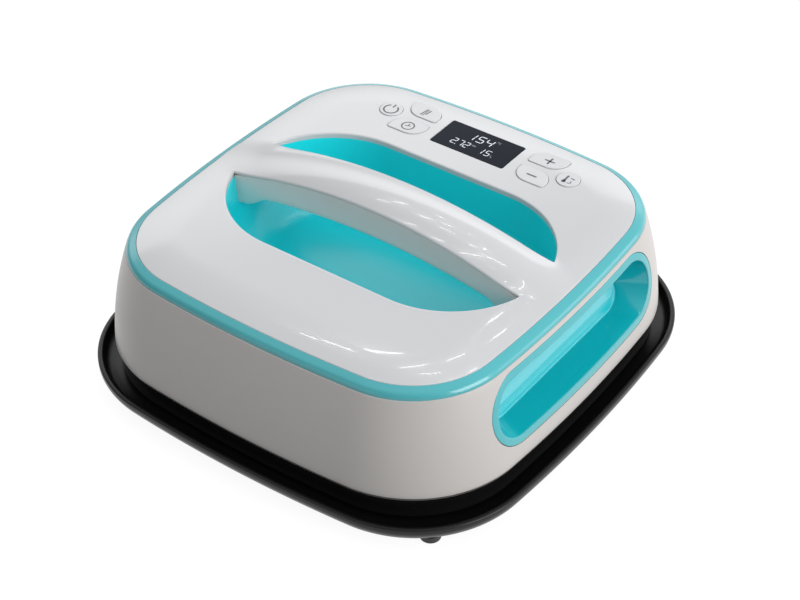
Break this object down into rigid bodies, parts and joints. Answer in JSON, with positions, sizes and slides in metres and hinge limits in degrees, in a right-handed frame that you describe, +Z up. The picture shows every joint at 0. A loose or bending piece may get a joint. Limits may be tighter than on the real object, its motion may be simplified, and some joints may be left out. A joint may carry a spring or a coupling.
{
  "type": "portable heat press",
  "caption": "Portable heat press with a bridge handle over a hand recess, side grips, display and buttons, standing on a dished heat-proof base.",
  "frame": {"origin": "on the table under the middle of the base, at the bottom of the feet", "axes": "+X to the user's right along the handle, +Y to the rear where the display and the cord inlet are, +Z up"},
  "size_m": [0.28, 0.283, 0.1074],
  "materials": {
    "housing": "satin pale grey moulding",
    "cover": "gloss white moulding",
    "teal": "gloss teal moulding",
    "handle_grey": "satin mid grey moulding",
    "button": "gloss white cap",
    "window": "clear gloss over black",
    "display": "black frame",
    "black": "gloss black heat resistant moulding",
    "rubber": "matte black",
    "silicone": "matte grey silicone",
    "steel": "zinc plated",
    "aluminium": "plain",
    "plate_coating": "dark ceramic coating",
    "fibre": "white ceramic fibre",
    "board": "green solder mask",
    "black_part": "black component",
    "terminal": "green terminal body"
  },
  "bodies": {
    "base": {"base_tray": "black", "base_feet": "rubber", "foot_screws": "steel", "rest_pads": "silicone"},
    "press": {"lower_housing": "housing", "side_grip_right": "teal", "side_grip_left": "teal", "trim_ring": "teal", "top_cover": "cover", "recess_bowl": "teal", "handle_grip": "handle_grey", "handle_screws": "steel", "display_window": "window", "chassis": "black", "heating_plate": "plate_coating", "cord_inlet": "rubber", "display_module": "display", "control_board": "board", "board_screws": "steel", "tact_switches": "black_part", "buzzer": "black_part", "heating_element": "steel", "plate_screws": "steel", "housing_screws": "steel", "insulation_blanket": "fibre", "heat_shield": "steel", "thermal_cutoff": "aluminium", "temperature_sensor": "steel", "force_sensors": "steel", "power_board": "board", "power_board_screws": "steel", "power_relay": "black_part", "power_transformer": "black_part", "capacitors": "black_part", "terminal_block": "terminal", "bowl_screws": "steel", "cover_screws": "steel"},
    "button_power": {"button_power": "button"},
    "button_timer": {"button_timer": "button"},
    "button_temperature": {"button_temperature": "button"},
    "button_minus": {"button_minus": "button"},
    "button_plus": {"button_plus": "button"},
    "button_unit": {"button_unit": "button"}
  },
  "joints": [
    {"name": "lift_off", "type": "slide", "parent": "base", "child": "press", "axis": [0, 0, 1], "range_m": [0, 0.15]},
    {"name": "button_power_travel", "type": "slide", "parent": "press", "child": "button_power", "axis": [0, 0, -1], "range_m": [0, 0.0006], "stiffness_N_per_m": 600},
    {"name": "button_timer_travel", "type": "slide", "parent": "press", "child": "button_timer", "axis": [0, 0, -1], "range_m": [0, 0.0006], "stiffness_N_per_m": 600},
    {"name": "button_temperature_travel", "type": "slide", "parent": "press", "child": "button_temperature", "axis": [0, 0, -1], "range_m": [0, 0.0006], "stiffness_N_per_m": 600},
    {"name": "button_minus_travel", "type": "slide", "parent": "press", "child": "button_minus", "axis": [0, 0, -1], "range_m": [0, 0.0006], "stiffness_N_per_m": 600},
    {"name": "button_plus_travel", "type": "slide", "parent": "press", "child": "button_plus", "axis": [0, 0, -1], "range_m": [0, 0.0006], "stiffness_N_per_m": 600},
    {"name": "button_unit_travel", "type": "slide", "parent": "press", "child": "button_unit", "axis": [0, 0, -1], "range_m": [0, 0.0006], "stiffness_N_per_m": 600}
  ]
}
